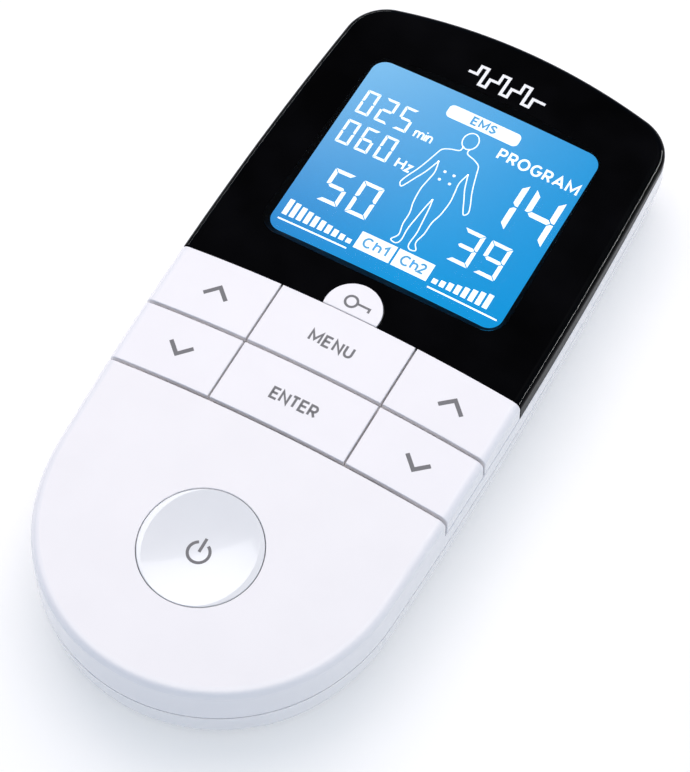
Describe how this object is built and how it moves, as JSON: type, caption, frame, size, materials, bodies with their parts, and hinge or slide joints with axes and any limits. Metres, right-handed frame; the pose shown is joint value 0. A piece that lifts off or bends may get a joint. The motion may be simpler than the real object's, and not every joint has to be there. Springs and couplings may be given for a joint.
{
  "type": "electrotherapy stimulator",
  "caption": "Two-channel nerve and muscle stimulator handset: white shell, black display cap with blue LCD, soft-touch keys, round dished power button, battery door in the back.",
  "frame": {"origin": "middle of the flat back face that the unit rests on", "axes": "+Z out of the display face, +Y towards the display end, +X to the right seen from above"},
  "size_m": [0.063, 0.1338, 0.021],
  "materials": {
    "white_shell": "glossy moulded ABS",
    "white_keys": "glossy moulded ABS",
    "black_cover": "high gloss black",
    "clear_pane": "clear acrylic",
    "lcd": "backlit liquid crystal glass",
    "optical_film": "white optical film and acrylic",
    "frame_plastic": "matt white nylon",
    "board": "green solder mask",
    "silicone": "translucent grey silicone",
    "black_plastic": "matt black plastic",
    "bright_metal": "nickel plated spring steel",
    "ferrite": "lacquered laminations",
    "copper": "lacquered copper winding",
    "cell_jacket": "printed battery jacket",
    "can_sleeve": "shrink sleeve"
  },
  "bodies": {
    "housing": {"front_housing": "white_shell", "back_housing": "white_shell", "display_cover": "black_cover", "display_window": "clear_pane", "lcd_glass": "lcd", "reflector_film": "optical_film", "light_guide": "optical_film", "diffuser_film": "optical_film", "backlight_leds": "optical_film", "lcd_connector_strip": "silicone", "lcd_frame": "frame_plastic", "main_board": "board", "keypad_mat": "silicone", "snap_domes": "bright_metal", "controller_chip": "black_plastic", "transformer_core_left": "ferrite", "transformer_core_right": "ferrite", "transformer_winding_left": "copper", "transformer_winding_right": "copper", "storage_capacitors": "can_sleeve", "buzzer": "black_plastic", "clock_crystal": "bright_metal", "output_transistors": "black_plastic", "output_jack_left": "black_plastic", "output_jack_right": "black_plastic", "jack_contacts": "bright_metal", "battery_left": "cell_jacket", "battery_middle": "cell_jacket", "battery_right": "cell_jacket", "battery_plates": "bright_metal", "battery_springs": "bright_metal", "housing_screws": "bright_metal"},
    "left_up_key": {"left_up_key": "white_keys"},
    "left_down_key": {"left_down_key": "white_keys"},
    "menu_key": {"menu_key": "white_keys"},
    "enter_key": {"enter_key": "white_keys"},
    "right_up_key": {"right_up_key": "white_keys"},
    "right_down_key": {"right_down_key": "white_keys"},
    "lock_key": {"lock_key": "white_keys"},
    "power_button": {"power_button": "white_keys"},
    "battery_door": {"battery_door": "white_shell"}
  },
  "joints": [
    {"name": "left_up_key_press", "type": "slide", "parent": "housing", "child": "left_up_key", "axis": [0, 0, -1], "range_m": [0, 0.0003], "stiffness_N_per_m": 4000, "springref_m": -0.0002},
    {"name": "left_down_key_press", "type": "slide", "parent": "housing", "child": "left_down_key", "axis": [0, 0, -1], "range_m": [0, 0.0003], "stiffness_N_per_m": 4000, "springref_m": -0.0002},
    {"name": "menu_key_press", "type": "slide", "parent": "housing", "child": "menu_key", "axis": [0, 0, -1], "range_m": [0, 0.0003], "stiffness_N_per_m": 4000, "springref_m": -0.0002},
    {"name": "enter_key_press", "type": "slide", "parent": "housing", "child": "enter_key", "axis": [0, 0, -1], "range_m": [0, 0.0003], "stiffness_N_per_m": 4000, "springref_m": -0.0002},
    {"name": "right_up_key_press", "type": "slide", "parent": "housing", "child": "right_up_key", "axis": [0, 0, -1], "range_m": [0, 0.0003], "stiffness_N_per_m": 4000, "springref_m": -0.0002},
    {"name": "right_down_key_press", "type": "slide", "parent": "housing", "child": "right_down_key", "axis": [0, 0, -1], "range_m": [0, 0.0003], "stiffness_N_per_m": 4000, "springref_m": -0.0002},
    {"name": "lock_key_press", "type": "slide", "parent": "housing", "child": "lock_key", "axis": [0, 0, -1], "range_m": [0, 0.0003], "stiffness_N_per_m": 4000, "springref_m": -0.0002},
    {"name": "power_button_press", "type": "slide", "parent": "housing", "child": "power_button", "axis": [0, 0, -1], "range_m": [0, 0.0003], "stiffness_N_per_m": 4000, "springref_m": -0.0002},
    {"name": "battery_door_hinge", "type": "hinge", "parent": "housing", "child": "battery_door", "pos_m": [0, 0.0039, 0.0009], "axis": [1, 0, 0], "range_deg": [0, 70]}
  ]
}
